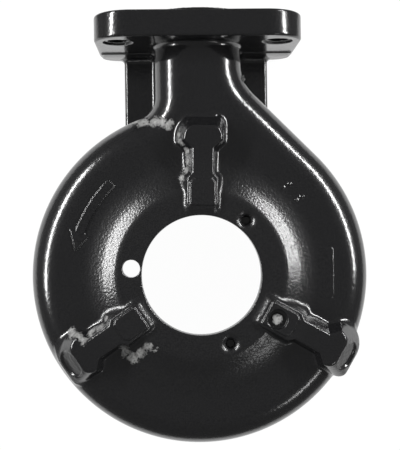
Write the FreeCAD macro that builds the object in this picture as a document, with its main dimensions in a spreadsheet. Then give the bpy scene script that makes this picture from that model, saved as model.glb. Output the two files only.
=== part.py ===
"""Volute pump casing: one grey-iron casting with a centre-line discharge neck.

Frame: origin on the pump axis in the machined motor face, +Z along the axis
towards the suction side, +Y towards the discharge flange.  Millimetres, degrees.
"""

import FreeCAD, Part
import Sketcher
import math
import os

VECTOR = FreeCAD.Vector
START, END, CENTRE = range(1, 4)
ORIGIN = -1

doc = FreeCAD.newDocument("volute_pump_casing")

# ---------------------------------------------------------------------------
# Driving dimensions
# ---------------------------------------------------------------------------

SIZES = [
    # scroll
    ("wall", 8.0, "cast wall of the scroll, the neck and the hub cone"),
    ("scroll_radius", 157.0, "outside radius of the scroll"),
    ("scroll_x", -0.3, "scroll centre from the pump axis"),
    ("scroll_y", -1.8, "scroll centre from the pump axis"),
    ("rear_z", 20.0, "outside of the rear scroll wall"),
    ("front_z", 102.0, "outside of the front scroll wall"),
    ("shoulder_radius", 28.0, "round shoulders of the scroll and of the flare"),
    # neck
    ("neck_width", 81.0, "outside width of the discharge neck"),
    ("flare_angle", 45.0, "where the flare leaves the scroll, from +X"),
    ("flare_blend", 40.0, "hollow between the flare and the neck"),
    ("tongue_blend", 22.0, "hollow between the scroll and the neck"),
    ("bore_diameter", 65.0, "bore of the discharge"),
    ("bore_length", 36.0, "round bore behind the flange face"),
    ("neck_round", 39.5, "corner radius of the neck where it meets the flange"),
    ("neck_run", 17.0, "length in which the neck turns round below the flange"),
    # discharge flange
    ("flange_y", 238.8, "flange face from the pump axis"),
    ("flange_thick", 24.3, "flange thickness"),
    ("flange_width", 192.0, "flange across X"),
    ("flange_depth", 122.0, "flange across Z, between its flat sides"),
    ("front_corner", 34.0, "flange corners on the suction side"),
    ("rear_corner", 18.0, "flange corners on the motor side"),
    ("flange_edge", 2.5, "cast edge rounding of the flange"),
    ("rear_pad_depth", 38.0, "deeper part of the flange on the motor side"),
    ("rear_pad_drop", 1.4, "how much thicker that part is"),
    ("rear_pad_inset", 2.5, "how far its sides stand back"),
    ("face_diameter", 118.0, "raised joint face"),
    ("face_height", 1.7, "raised joint face"),
    ("bolt_circle", 160.0, "flange bolts"),
    ("bolt_angle", 22.5, "flange bolts, from the X direction"),
    ("bolt_hole", 18.0, "flange bolts"),
    ("spot_face", 27.0, "bolt seats under the flange"),
    ("stud_drill", 14.0, "blind stud holes in the rear part, tapping size"),
    ("stud_depth", 18.0, "blind stud holes in the rear part"),
    ("spot_depth", 1.6, "bolt seats under the flange"),
    # web between scroll and flange
    ("web_width", 144.0, "rear web, across X"),
    ("web_thick", 12.0, "rear web"),
    ("web_edge", 4.0, "cast edge rounding of the web"),
    # suction hub
    ("ring_z", 115.0, "flat suction ring"),
    ("ring_radius", 76.7, "outer edge of the suction ring"),
    ("cone_radius", 100.5, "foot of the hub cone"),
    ("cone_blend", 7.0, "hollow at the foot of the cone"),
    ("ring_edge", 1.5, "rounded outer edge of the suction ring"),
    ("ring_thick", 12.0, "suction ring"),
    ("suction_diameter", 108.4, "suction opening"),
    ("suction_chamfer", 0.8, "broken edge of the suction opening"),
    # screws in the suction ring
    ("ring_circle", 130.2, "screws in the suction ring"),
    ("ring_circle_x", 1.0, "their circle from the pump axis"),
    ("ring_circle_y", -2.3, "their circle from the pump axis"),
    ("ring_screw_angle", 172.0, "the open screw hole, from +X"),
    ("ring_hole", 16.0, "screw holes"),
    ("ring_pilot", 8.0, "bottom of the two seated screw holes"),
    ("ring_pilot_depth", 9.0, "the two seated screw holes, blind"),
    # lugs
    ("lug_top_z", 119.0, "top of the lugs"),
    ("lug_foot_z", 94.0, "where the drafted lug sides end"),
    ("lug_root", 12.0, "straight root of the lugs below that"),
    ("lug_block_half", 13.7, "half width of the lugs under the pad"),
    ("lug_step", 5.0, "from the pad to the waist"),
    ("lug_waist_half", 9.4, "half width of the waist"),
    ("lug_flare", 8.0, "from the waist to the full width of the head"),
    ("lug_head_half", 17.0, "half width of the head"),
    ("lug_pad_margin", 2.5, "edge left round the square pad"),
    ("lug_pad_chamfer", 3.6, "outer corners of the square pad"),
    ("lug_pad_rise", 1.2, "square pad above the lug"),
    ("lug_draft", 12.0, "draft of the lug sides turned away from the discharge"),
    ("lug_wide_draft", 26.0, "draft of the lug sides turned to the discharge"),
    ("lug_inner_draft", 50.0, "draft of the inner end"),
    ("lug_tip_draft", 37.0, "draft of the outer end"),
    ("lug_corner", 4.0, "upright corners of the lugs"),
    ("lug_tip_corner", 6.0, "upright corners at the outer end"),
    ("lug_edge", 1.5, "top edges of the lugs"),
    ("top_lug_angle", 88.6, "lug beside the discharge neck, from +X"),
    ("top_lug_inner", 60.5, "its inner end from the pump axis"),
    ("top_lug_pad_end", 87.5, "outer end of its pad"),
    ("top_lug_waist_end", 114.5, "outer end of its waist"),
    ("top_lug_tip", 134.3, "outer end of its top"),
    ("left_lug_angle", 213.6, "left lug, from +X"),
    ("left_lug_inner", 63.0, "its inner end from the pump axis"),
    ("left_lug_pad_end", 90.0, "outer end of its pad"),
    ("left_lug_waist_end", 118.0, "outer end of its waist"),
    ("left_lug_tip", 134.3, "outer end of its top"),
    ("right_lug_angle", 330.1, "right lug, from +X"),
    ("right_lug_inner", 65.0, "its inner end from the pump axis"),
    ("right_lug_pad_end", 96.0, "outer end of its pad"),
    ("right_lug_waist_end", 127.0, "outer end of its waist"),
    ("right_lug_tip", 143.3, "outer end of its top"),
    ("tip_pocket_length", 27.0, "oblong pocket in the outer end, across"),
    ("tip_pocket_width", 24.0, "oblong pocket in the outer end, down the slope"),
    ("tip_pocket_depth", 2.0, "oblong pocket in the outer end"),
    ("tip_pocket_drop", 12.3, "middle of the pocket below the lug top"),
    ("seat_x", 67.5, "round seat in the right lug, from the pump axis"),
    ("seat_y", -40.5, "round seat in the right lug, from the pump axis"),
    ("seat_diameter", 18.0, "round seat in the right lug"),
    ("seat_depth", 4.5, "round seat in the right lug"),
    ("seat_stub", 11.0, "rough stub left in the seat"),
    ("seat_stub_height", 2.0, "rough stub left in the seat"),
    # flow arrow
    ("arrow_radius", 117.0, "middle of the arrow from the pump axis"),
    ("arrow_width", 8.6, "arrow shaft"),
    ("arrow_head", 19.5, "arrow head, across"),
    ("arrow_start", 133.5, "tail, from +X"),
    ("arrow_neck", 160.5, "foot of the head, from +X"),
    ("arrow_end", 168.7, "tip, from +X"),
    ("arrow_rise", 1.6, "arrow above the front wall"),
    # motor side
    ("motor_flange", 250.0, "outside of the motor flange"),
    ("motor_bore", 204.0, "opening on the motor side"),
    ("spigot_diameter", 214.0, "centring recess of the motor"),
    ("spigot_depth", 6.0, "centring recess of the motor"),
    ("motor_edge", 2.0, "cast edge rounding of the motor flange"),
    ("motor_circle", 232.0, "tapped holes for the motor"),
    ("motor_holes", 8, "tapped holes for the motor"),
    ("tap_drill", 8.5, "tapped holes for the motor"),
    ("tap_depth", 20.0, "tapped holes for the motor"),
    # gate left on the outside of the scroll
    ("gate_rise", 1.3, "fettled gate at the bottom of the scroll"),
    ("gate_start", 259.0, "gate, from +X"),
    ("gate_end", 285.0, "gate, from +X"),
    ("gate_height", 14.0, "gate, across Z"),
]

sheet = doc.addObject("Spreadsheet::Sheet", "Sizes")
for row, (alias, value, note) in enumerate(SIZES, start=1):
    sheet.set(f"A{row}", alias)
    sheet.set(f"B{row}", str(value))
    sheet.set(f"C{row}", note)
    sheet.setAlias(f"B{row}", alias)
doc.recompute()


def size(alias):
    """The value of one driving dimension."""
    return float(sheet.get(alias))


# ---------------------------------------------------------------------------
# Helpers
# ---------------------------------------------------------------------------

def origin_plane(body, role):
    return next(f for f in body.Origin.OriginFeatures if f.Role == role)


def new_sketch(body, name, role="XY_Plane", lift=None):
    """A sketch on one of its body's origin planes, lifted by an expression."""
    sketch = body.newObject("Sketcher::SketchObject", name)
    sketch.AttachmentSupport = [(origin_plane(body, role), "")]
    sketch.MapMode = "FlatFace"
    if lift is not None:
        sketch.setExpression("AttachmentOffset.Base.z", lift)
    return sketch


workings = doc.addObject("Spreadsheet::Sheet", "Workings")


def worth(expression):
    """What an expression of the sheet gives now, as a plain number."""
    workings.set("A1", "=" + expression)
    workings.recompute()
    result = workings.get("A1")
    return float(getattr(result, "Value", result))


def bind(sketch, name, expression, kind, *where):
    """A dimension of a sketch that follows an expression of the sheet."""
    value = worth(expression)
    if kind == "Angle":
        value = math.radians(value)
    index = sketch.addConstraint(Sketcher.Constraint(kind, *where, value))
    sketch.renameConstraint(index, name)
    sketch.setExpression("Constraints." + name, expression)


def relate(sketch, *relations):
    """Relations without a value, such as tangents."""
    for relation in relations:
        sketch.addConstraint(Sketcher.Constraint(*relation))


def arc(centre_x, centre_y, radius, start, end):
    circle = Part.Circle(VECTOR(centre_x, centre_y, 0), VECTOR(0, 0, 1), radius)
    return Part.ArcOfCircle(circle, math.radians(start), math.radians(end))


def line(start_x, start_y, end_x, end_y):
    return Part.LineSegment(VECTOR(start_x, start_y, 0), VECTOR(end_x, end_y, 0))


def new_body(name):
    return doc.addObject("PartDesign::Body", name)


def pad(body, name, sketch, length):
    feature = body.newObject("PartDesign::Pad", name)
    feature.Profile = sketch
    feature.setExpression("Length", length)
    doc.recompute()
    return feature


def edge_names(feature, wanted):
    """Names of the edges of a feature that a test accepts."""
    edges = feature.Shape.Edges
    return [f"Edge{i}" for i, edge in enumerate(edges, start=1) if wanted(edge)]


def fillet(body, name, base, wanted, radius):
    """Round every edge that the test accepts."""
    feature = body.newObject("PartDesign::Fillet", name)
    feature.Base = (base, edge_names(base, wanted))
    feature.setExpression("Radius", radius)
    doc.recompute()
    return feature


def level_at(height):
    """A test for edges that lie in the plane z = height."""
    def wanted(edge):
        box = edge.BoundBox
        return abs(box.ZMin - height) < 0.01 and abs(box.ZMax - height) < 0.01
    return wanted


def rises(height):
    """A test for edges that climb from the bottom to the top of a pad."""
    def wanted(edge):
        return edge.BoundBox.ZLength > height - 0.01
    return wanted


def draft(body, name, base, wanted, angle):
    """Slope the faces that the test accepts outwards, keeping the top face."""
    faces = list(enumerate(base.Shape.Faces, start=1))
    top = max(faces, key=lambda pair: pair[1].CenterOfMass.z)
    feature = body.newObject("PartDesign::Draft", name)
    feature.Base = (base, [f"Face{i}" for i, face in faces if wanted(face.normalAt(0, 0))])
    feature.NeutralPlane = (base, [f"Face{top[0]}"])
    feature.setExpression("Angle", angle)
    doc.recompute()
    return feature


def cylinder(name, radius, length, x="0", y="0", z="0", axis=(0, 0, 1)):
    """A Part cylinder whose sizes and place are expressions of the sheet."""
    tool = doc.addObject("Part::Cylinder", name)
    tool.setExpression("Radius", radius)
    tool.setExpression("Height", length)
    tool.Placement.Rotation = FreeCAD.Rotation(VECTOR(0, 0, 1), VECTOR(*axis))
    tool.setExpression("Placement.Base.x", x)
    tool.setExpression("Placement.Base.y", y)
    tool.setExpression("Placement.Base.z", z)
    return tool


def revolved(name, points, roundings=()):
    """A body turned about Z from a profile of (radius, height) expressions."""
    body = new_body(name)
    sketch = new_sketch(body, name + "_profile", "XZ_Plane")
    corners = [(worth(r), worth(z)) for r, z in points]
    count = len(corners)
    for i in range(count):
        sketch.addGeometry(line(*corners[i], *corners[(i + 1) % count]), False)
    for i in range(count):
        relate(sketch, ("Coincident", i, END, (i + 1) % count, START))
    for i, (r, z) in enumerate(points):
        bind(sketch, f"radius_{i}", r, "DistanceX", ORIGIN, 1, i, START)
        bind(sketch, f"height_{i}", z, "DistanceY", ORIGIN, 1, i, START)
    feature = body.newObject("PartDesign::Revolution", name + "_turned")
    feature.Profile = sketch
    feature.ReferenceAxis = (sketch, ["V_Axis"])
    feature.Angle = 360
    doc.recompute()
    for i, (corner, radius) in enumerate(roundings):
        corner_r, corner_z = corners[corner]
        ring = circle_at(corner_r, corner_z)
        feature = fillet(body, f"{name}_rounding_{i}", feature, ring, radius)
    return body


def circle_at(radius, height):
    """A test for the circular edge of one radius at one height."""
    def wanted(edge):
        curve = edge.Curve
        return (isinstance(curve, Part.Circle) and abs(curve.Radius - radius) < 0.01
                and abs(curve.Center.z - height) < 0.01)
    return wanted


def rounded_rectangle(sketch, left, right, bottom, top, lower_corner, upper_corner):
    """A closed rectangle with rounded corners; all sizes are expressions."""
    x0, x1 = worth(left), worth(right)
    y0, y1 = worth(bottom), worth(top)
    low, high = worth(lower_corner), worth(upper_corner)
    sketch.addGeometry([
        line(x0 + low, y0, x1 - low, y0),
        arc(x1 - low, y0 + low, low, 270, 360),
        line(x1, y0 + low, x1, y1 - high),
        arc(x1 - high, y1 - high, high, 0, 90),
        line(x1 - high, y1, x0 + high, y1),
        arc(x0 + high, y1 - high, high, 90, 180),
        line(x0, y1 - high, x0, y0 + low),
        arc(x0 + low, y0 + low, low, 180, 270),
    ], False)
    for i in range(8):
        relate(sketch, ("Tangent", i, END, (i + 1) % 8, START))
    relate(sketch, ("Horizontal", 0), ("Vertical", 2), ("Horizontal", 4), ("Vertical", 6))
    relate(sketch, ("Equal", 1, 7), ("Equal", 3, 5))
    bind(sketch, "lower_corner", lower_corner, "Radius", 1)
    bind(sketch, "upper_corner", upper_corner, "Radius", 3)
    bind(sketch, "left", left, "DistanceX", ORIGIN, 1, 6, START)
    bind(sketch, "right", right, "DistanceX", ORIGIN, 1, 2, START)
    bind(sketch, "bottom", bottom, "DistanceY", ORIGIN, 1, 0, START)
    bind(sketch, "top", top, "DistanceY", ORIGIN, 1, 4, START)


def closed_polygon(sketch, points):
    """A closed outline through points given as pairs of expressions."""
    corners = [(worth(x), worth(y)) for x, y in points]
    count = len(corners)
    for i in range(count):
        sketch.addGeometry(line(*corners[i], *corners[(i + 1) % count]), False)
    for i in range(count):
        relate(sketch, ("Coincident", i, END, (i + 1) % count, START))
    for i, (x, y) in enumerate(points):
        bind(sketch, f"x_{i}", x, "DistanceX", ORIGIN, 1, i, START)
        bind(sketch, f"y_{i}", y, "DistanceY", ORIGIN, 1, i, START)


def fuse(name, *shapes):
    joined = doc.addObject("Part::MultiFuse", name)
    joined.Shapes = list(shapes)
    joined.Refine = True
    return joined


# ---------------------------------------------------------------------------
# Scroll and neck: one plan outline for the outside and one for the inside
# ---------------------------------------------------------------------------

UNDERSIDE = "(Sizes.flange_y - Sizes.flange_thick)"
MIDDLE_Z = "(Sizes.rear_z + Sizes.front_z) / 2"
NECK_TOP = f"({UNDERSIDE} - Sizes.neck_run + 1)"


def scroll_outline(body, name, lift, radius, half_width, flare_blend, tongue_blend, top):
    """Circle of the scroll, tangent flare on the right, neck, tongue hollow on the left."""
    sketch = new_sketch(body, name, "XY_Plane", lift)
    centre_x, centre_y = size("scroll_x"), size("scroll_y")
    big, half = worth(radius), worth(half_width)
    flare, tongue = worth(flare_blend), worth(tongue_blend)
    neck_end, angle = worth(top), size("flare_angle")
    cosine, sine = math.cos(math.radians(angle)), math.sin(math.radians(angle))
    flare_x = half + flare
    flare_y = centre_y + (big + flare - cosine * (flare_x - centre_x)) / sine
    tongue_x = -half - tongue
    tongue_y = centre_y + math.sqrt((big + tongue) ** 2 - (tongue_x - centre_x) ** 2)
    tongue_angle = math.degrees(math.atan2(tongue_y - centre_y, tongue_x - centre_x))
    sketch.addGeometry([
        arc(centre_x, centre_y, big, tongue_angle, 360 + angle),
        line(centre_x + big * cosine, centre_y + big * sine,
             flare_x - flare * cosine, flare_y - flare * sine),
        arc(flare_x, flare_y, flare, 180, 180 + angle),
        line(half, flare_y, half, neck_end),
        line(half, neck_end, -half, neck_end),
        line(-half, neck_end, -half, tongue_y),
        arc(tongue_x, tongue_y, tongue, tongue_angle - 180, 0),
    ], False)
    relate(sketch,
           ("Tangent", 0, END, 1, START), ("Tangent", 1, END, 2, END),
           ("Tangent", 2, START, 3, START), ("Coincident", 3, END, 4, START),
           ("Coincident", 4, END, 5, START), ("Tangent", 5, END, 6, END),
           ("Tangent", 6, START, 0, START),
           ("Vertical", 3), ("Horizontal", 4), ("Vertical", 5))
    bind(sketch, "scroll_x", "Sizes.scroll_x", "DistanceX", ORIGIN, 1, 0, CENTRE)
    bind(sketch, "scroll_y", "Sizes.scroll_y", "DistanceY", ORIGIN, 1, 0, CENTRE)
    bind(sketch, "scroll_radius", radius, "Radius", 0)
    bind(sketch, "flare_blend", flare_blend, "Radius", 2)
    bind(sketch, "tongue_blend", tongue_blend, "Radius", 6)
    bind(sketch, "flare_angle", "90 deg + Sizes.flare_angle * 1 deg", "Angle", 1)
    bind(sketch, "neck_right", half_width, "DistanceX", ORIGIN, 1, 3, START)
    bind(sketch, "neck_left", f"-({half_width})", "DistanceX", ORIGIN, 1, 5, END)
    bind(sketch, "neck_top", top, "DistanceY", ORIGIN, 1, 4, START)
    return sketch


def scroll_solid(name, lift, height, radius, half_width, flare_blend, tongue_blend, top, shoulder):
    """The outline raised along Z, with its front and rear edges rounded."""
    body = new_body(name)
    sketch = scroll_outline(body, name + "_plan", lift, radius, half_width,
                            flare_blend, tongue_blend, top)
    solid = pad(body, name + "_raised", sketch, height)
    low = worth(lift)
    high = low + worth(height)
    neck_end = worth(top)

    def shoulder_edge(edge):
        flat = level_at(low)(edge) or level_at(high)(edge)
        return flat and edge.BoundBox.YMin < neck_end - 0.01

    fillet(body, name + "_shoulders", solid, shoulder_edge, shoulder)
    return body


scroll = scroll_solid(
    "scroll", "Sizes.rear_z", "Sizes.front_z - Sizes.rear_z", "Sizes.scroll_radius",
    "Sizes.neck_width / 2", "Sizes.flare_blend", "Sizes.tongue_blend", NECK_TOP,
    "Sizes.shoulder_radius")

chamber = scroll_solid(
    "chamber", "Sizes.rear_z + Sizes.wall", "Sizes.front_z - Sizes.rear_z - 2 * Sizes.wall",
    "Sizes.scroll_radius - Sizes.wall", "Sizes.bore_diameter / 2",
    "Sizes.flare_blend + Sizes.wall", "Sizes.tongue_blend + Sizes.wall",
    "Sizes.flange_y - Sizes.bore_length + 1", "Sizes.shoulder_radius - Sizes.wall")

# The neck turns from its rounded square section to a round one under the flange.
neck_end = new_body("neck_end")
neck_sections = []
for name, level, corner in (("neck_lower", f"{NECK_TOP} - 1", "Sizes.shoulder_radius"),
                            ("neck_upper", f"{UNDERSIDE} + 2", "Sizes.neck_round")):
    section = new_sketch(neck_end, name, "XZ_Plane", f"-({level})")
    rounded_rectangle(section, "-Sizes.neck_width / 2", "Sizes.neck_width / 2",
                      "Sizes.rear_z", "Sizes.front_z", corner, corner)
    neck_sections.append(section)
neck_loft = neck_end.newObject("PartDesign::AdditiveLoft", "neck_loft")
neck_loft.Profile = neck_sections[0]
neck_loft.Sections = neck_sections[1:]
neck_loft.Ruled = True
doc.recompute()

# ---------------------------------------------------------------------------
# Rear web, and the saddle that joins scroll and neck to it
# ---------------------------------------------------------------------------

WEB_START = "(Sizes.motor_bore / 2 - Sizes.wall)"

web = new_body("web")
web_plan = new_sketch(web, "web_plan")
closed_polygon(web_plan, [
    ("-Sizes.web_width / 2", WEB_START),
    ("Sizes.web_width / 2", WEB_START),
    ("Sizes.web_width / 2", f"{UNDERSIDE} + 2"),
    ("-Sizes.web_width / 2", f"{UNDERSIDE} + 2"),
])
web_plate = pad(web, "web_plate", web_plan, "Sizes.web_thick")


def web_side(edge):
    box = edge.BoundBox
    return box.YLength > 1 and box.XLength < 0.01 and box.ZLength < 0.01


fillet(web, "web_edges", web_plate, web_side, "Sizes.web_edge")

saddle_block = new_body("saddle_block")
saddle_plan = scroll_outline(
    saddle_block, "saddle_plan", "Sizes.web_thick / 2", "Sizes.scroll_radius",
    "Sizes.neck_width / 2", "Sizes.flare_blend", "Sizes.tongue_blend", f"{UNDERSIDE} + 2")
pad(saddle_block, "saddle_raised", saddle_plan, f"{MIDDLE_Z} - Sizes.web_thick / 2")

saddle_limit = doc.addObject("Part::Box", "saddle_limit")
saddle_limit.setExpression("Length", "Sizes.web_width")
saddle_limit.setExpression("Width", f"{UNDERSIDE} + 2 - {WEB_START}")
saddle_limit.setExpression("Height", "Sizes.front_z")
saddle_limit.setExpression("Placement.Base.x", "-Sizes.web_width / 2")
saddle_limit.setExpression("Placement.Base.y", WEB_START)

saddle = doc.addObject("Part::Common", "saddle")
saddle.Base = saddle_block
saddle.Tool = saddle_limit

# ---------------------------------------------------------------------------
# Discharge flange
# ---------------------------------------------------------------------------

FLANGE_REAR = f"({MIDDLE_Z} - Sizes.flange_depth / 2)"
FLANGE_FRONT = f"({MIDDLE_Z} + Sizes.flange_depth / 2)"


def any_rim(edge):
    """Edges of the flange outline, on either face."""
    box = edge.BoundBox
    return box.YLength < 0.01


flange = new_body("flange")
flange_plan = new_sketch(flange, "flange_plan", "XZ_Plane", "-Sizes.flange_y")
rounded_rectangle(flange_plan, "-Sizes.flange_width / 2", "Sizes.flange_width / 2",
                  FLANGE_REAR, FLANGE_FRONT, "Sizes.rear_corner", "Sizes.front_corner")
flange_plate = pad(flange, "flange_plate", flange_plan, "Sizes.flange_thick")
fillet(flange, "flange_edges", flange_plate, any_rim, "Sizes.flange_edge")

rear_pad = new_body("rear_pad")
rear_pad_plan = new_sketch(rear_pad, "rear_pad_plan", "XZ_Plane",
                           "-(Sizes.flange_y - Sizes.flange_edge)")
rounded_rectangle(rear_pad_plan, "-Sizes.flange_width / 2 + Sizes.rear_pad_inset",
                  "Sizes.flange_width / 2 - Sizes.rear_pad_inset", FLANGE_REAR,
                  f"{FLANGE_REAR} + Sizes.rear_pad_depth", "Sizes.rear_corner",
                  "Sizes.web_edge")
rear_pad_plate = pad(rear_pad, "rear_pad_plate", rear_pad_plan,
                     "Sizes.flange_thick - Sizes.flange_edge + Sizes.rear_pad_drop")

joint_face = cylinder("joint_face", "Sizes.face_diameter / 2",
                      "Sizes.face_height + Sizes.flange_thick / 2",
                      y="Sizes.flange_y - Sizes.flange_thick / 2", z=MIDDLE_Z, axis=(0, 1, 0))

# ---------------------------------------------------------------------------
# Suction hub: flat ring on a cone, and its hollow
# ---------------------------------------------------------------------------

CONE_SLOPE = "((Sizes.cone_radius - Sizes.ring_radius) / (Sizes.ring_z - Sizes.front_z))"
CONE_WALL = f"(Sizes.wall * sqrt(1 + {CONE_SLOPE} ^ 2))"
INSIDE_Z = "(Sizes.front_z - Sizes.wall)"
RING_UNDER = "(Sizes.ring_z - Sizes.ring_thick)"

hub = revolved("hub", [
    ("0", INSIDE_Z),
    ("Sizes.scroll_radius - Sizes.shoulder_radius - 4", INSIDE_Z),
    ("Sizes.scroll_radius - Sizes.shoulder_radius - 4", "Sizes.front_z"),
    ("Sizes.cone_radius", "Sizes.front_z"),
    ("Sizes.ring_radius", "Sizes.ring_z"),
    ("0", "Sizes.ring_z"),
], [(3, "Sizes.cone_blend"), (4, "Sizes.ring_edge")])

hub_hollow = revolved("hub_hollow", [
    ("0", f"{INSIDE_Z} - 1"),
    (f"Sizes.cone_radius - {CONE_WALL} + {CONE_SLOPE} * (Sizes.wall + 1)", f"{INSIDE_Z} - 1"),
    (f"Sizes.cone_radius - {CONE_WALL} - {CONE_SLOPE} * ({RING_UNDER} - Sizes.front_z)",
     RING_UNDER),
    ("0", RING_UNDER),
])

suction_opening = revolved("suction_opening", [
    ("0", f"{RING_UNDER} - 1"),
    ("Sizes.suction_diameter / 2", f"{RING_UNDER} - 1"),
    ("Sizes.suction_diameter / 2", "Sizes.ring_z - Sizes.suction_chamfer"),
    ("Sizes.suction_diameter / 2 + Sizes.suction_chamfer + 20", "Sizes.ring_z + 20"),
    ("0", "Sizes.ring_z + 20"),
])

# ---------------------------------------------------------------------------
# Lugs: waisted in plan, drafted on all sides, with a square pad on the hub
# ---------------------------------------------------------------------------

LUG_RISE = "(Sizes.lug_top_z - Sizes.lug_foot_z)"


def lug_outline(lug):
    """Corners of a lug along +X, seen from the suction side."""
    stations = [
        (f"Sizes.{lug}_inner", "Sizes.lug_block_half"),
        (f"Sizes.{lug}_pad_end", "Sizes.lug_block_half"),
        (f"Sizes.{lug}_pad_end + Sizes.lug_step", "Sizes.lug_waist_half"),
        (f"Sizes.{lug}_waist_end", "Sizes.lug_waist_half"),
        (f"Sizes.{lug}_waist_end + Sizes.lug_flare", "Sizes.lug_head_half"),
        (f"Sizes.{lug}_tip", "Sizes.lug_head_half"),
    ]
    right_side = [(reach, f"-{half}") for reach, half in stations]
    left_side = list(reversed(stations))
    return right_side + left_side


def pad_outline(lug):
    """The square pad on top of a lug, with its outer corners cut off."""
    near = f"Sizes.{lug}_inner + Sizes.lug_pad_margin"
    far = f"Sizes.{lug}_pad_end"
    half = "Sizes.lug_block_half - Sizes.lug_pad_margin"
    cut = "Sizes.lug_pad_chamfer"
    return [
        (near, f"-({half})"), (f"{far} - {cut}", f"-({half})"), (far, f"-({half} - {cut})"),
        (far, f"{half} - {cut}"), (f"{far} - {cut}", half), (near, half),
    ]


def turned_body(name, lug):
    """A body turned about the pump axis to the angle of its lug."""
    body = new_body(name)
    body.Placement.Rotation = FreeCAD.Rotation(VECTOR(0, 0, 1), 0)
    body.setExpression("Placement.Rotation.Angle", f"Sizes.{lug}_angle")
    return body


def make_lug(lug, wide_side):
    """A drafted lug; wide_side is 1 or -1 along its own Y."""
    body = turned_body(lug, lug)
    tip = size(f"{lug}_tip")
    plan = new_sketch(body, lug + "_plan", lift="Sizes.lug_foot_z")
    closed_polygon(plan, lug_outline(lug))
    solid = pad(body, lug + "_raised", plan, LUG_RISE)
    solid = draft(body, lug + "_narrow_side", solid,
                  lambda normal: normal.y * wide_side < -0.1, "Sizes.lug_draft")
    solid = draft(body, lug + "_wide_side", solid,
                  lambda normal: normal.y * wide_side > 0.1, "Sizes.lug_wide_draft")
    solid = draft(body, lug + "_inner_end", solid,
                  lambda normal: normal.x < -0.95, "Sizes.lug_inner_draft")
    solid = draft(body, lug + "_outer_end", solid,
                  lambda normal: normal.x > 0.95, "Sizes.lug_tip_draft")
    upright = rises(worth(LUG_RISE))
    solid = fillet(body, lug + "_tip_corners", solid,
                   lambda edge: upright(edge) and edge.BoundBox.XMax > tip + 1,
                   "Sizes.lug_tip_corner")
    solid = fillet(body, lug + "_corners", solid,
                   lambda edge: upright(edge) and edge.BoundBox.XMax < tip - 1,
                   "Sizes.lug_corner")
    solid = fillet(body, lug + "_edges", solid, level_at(size("lug_top_z")), "Sizes.lug_edge")
    root = body.newObject("PartDesign::Pad", lug + "_root")
    faces = list(enumerate(solid.Shape.Faces, start=1))
    lowest = min(faces, key=lambda pair: pair[1].CenterOfMass.z)
    root.Profile = (solid, [f"Face{lowest[0]}"])
    root.setExpression("Length", "Sizes.lug_root")
    doc.recompute()
    return body


def make_pad(lug):
    """The square pad of a lug."""
    name = lug + "_pad"
    body = turned_body(name, lug)
    plan = new_sketch(body, name + "_plan", lift="Sizes.lug_top_z - 1")
    closed_polygon(plan, pad_outline(lug))
    pad(body, name + "_raised", plan, "Sizes.lug_pad_rise + 1")
    return body


def make_tip_pocket(lug):
    """Tool for the oblong pocket in the sloping outer end of a lug."""
    name = lug + "_pocket"
    body = turned_body(name, lug)
    plan = new_sketch(body, name + "_plan", "YZ_Plane")
    half_width = "Sizes.tip_pocket_width / 2"
    rounded_rectangle(plan, "-Sizes.tip_pocket_length / 2", "Sizes.tip_pocket_length / 2",
                      f"-({half_width})", half_width, f"{half_width} - 0.1",
                      f"{half_width} - 0.1")
    plan.setExpression("AttachmentOffset.Base.y", "Sizes.lug_top_z - Sizes.tip_pocket_drop")
    plan.setExpression(
        "AttachmentOffset.Base.z",
        f"Sizes.{lug}_tip - Sizes.tip_pocket_depth"
        " + Sizes.tip_pocket_drop * tan(Sizes.lug_tip_draft * 1 deg)")
    plan.AttachmentOffset.Rotation = FreeCAD.Rotation(VECTOR(1, 0, 0), 0)
    plan.setExpression("AttachmentOffset.Rotation.Angle", "-Sizes.lug_tip_draft * 1 deg")
    pad(body, name + "_raised", plan, "Sizes.tip_pocket_depth * 6")
    return body


LUGS = ["top_lug", "left_lug", "right_lug"]
lugs = [make_lug("top_lug", 1), make_lug("left_lug", -1), make_lug("right_lug", 1)]
lug_pads = [make_pad(lug) for lug in LUGS]
tip_pockets = [make_tip_pocket(lug) for lug in LUGS]

# The right lug has a round seat with the rough stub of a broken-off boss in it.
PAD_Z = "(Sizes.lug_top_z + Sizes.lug_pad_rise)"
SEAT_FLOOR = f"({PAD_Z} - Sizes.seat_depth)"

seat_hole = cylinder("seat_hole", "Sizes.seat_diameter / 2", "Sizes.seat_depth + 1",
                     "Sizes.seat_x", "Sizes.seat_y", SEAT_FLOOR)
seat_stub = cylinder("seat_stub", "Sizes.seat_stub / 2", "Sizes.seat_stub_height + 1",
                     "Sizes.seat_x", "Sizes.seat_y", f"{SEAT_FLOOR} - 1")
seat = doc.addObject("Part::Cut", "seat")
seat.Base = seat_hole
seat.Tool = seat_stub

# ---------------------------------------------------------------------------
# Flow arrow on the front wall, and the fettled gate at the bottom
# ---------------------------------------------------------------------------

ARROW_FLOOR = "(Sizes.front_z - 1)"
ARROW_INNER = "Sizes.arrow_radius - Sizes.arrow_width / 2"
ARROW_OUTER = "Sizes.arrow_radius + Sizes.arrow_width / 2"


def on_circle(radius, angle):
    """Expressions of a point at a radius and an angle about the pump axis."""
    return f"({radius}) * cos({angle} * 1 deg)", f"({radius}) * sin({angle} * 1 deg)"


def sector(name, radius, length, start, end, x="0", y="0", z="0"):
    """A slice of a cylinder between two angles."""
    tool = cylinder(name, radius, length, x, y, z)
    tool.setExpression("Angle", f"{end} - {start}")
    tool.setExpression("Placement.Rotation.Angle", start)
    return tool


arrow_shaft = doc.addObject("Part::Cut", "arrow_shaft")
arrow_shaft.Base = sector("arrow_shaft_outer", ARROW_OUTER, "Sizes.arrow_rise + 1",
                          "Sizes.arrow_start", "Sizes.arrow_neck", z=ARROW_FLOOR)
arrow_shaft.Tool = cylinder("arrow_shaft_inner", ARROW_INNER, "Sizes.arrow_rise + 3",
                            z=f"{ARROW_FLOOR} - 1")

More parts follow.
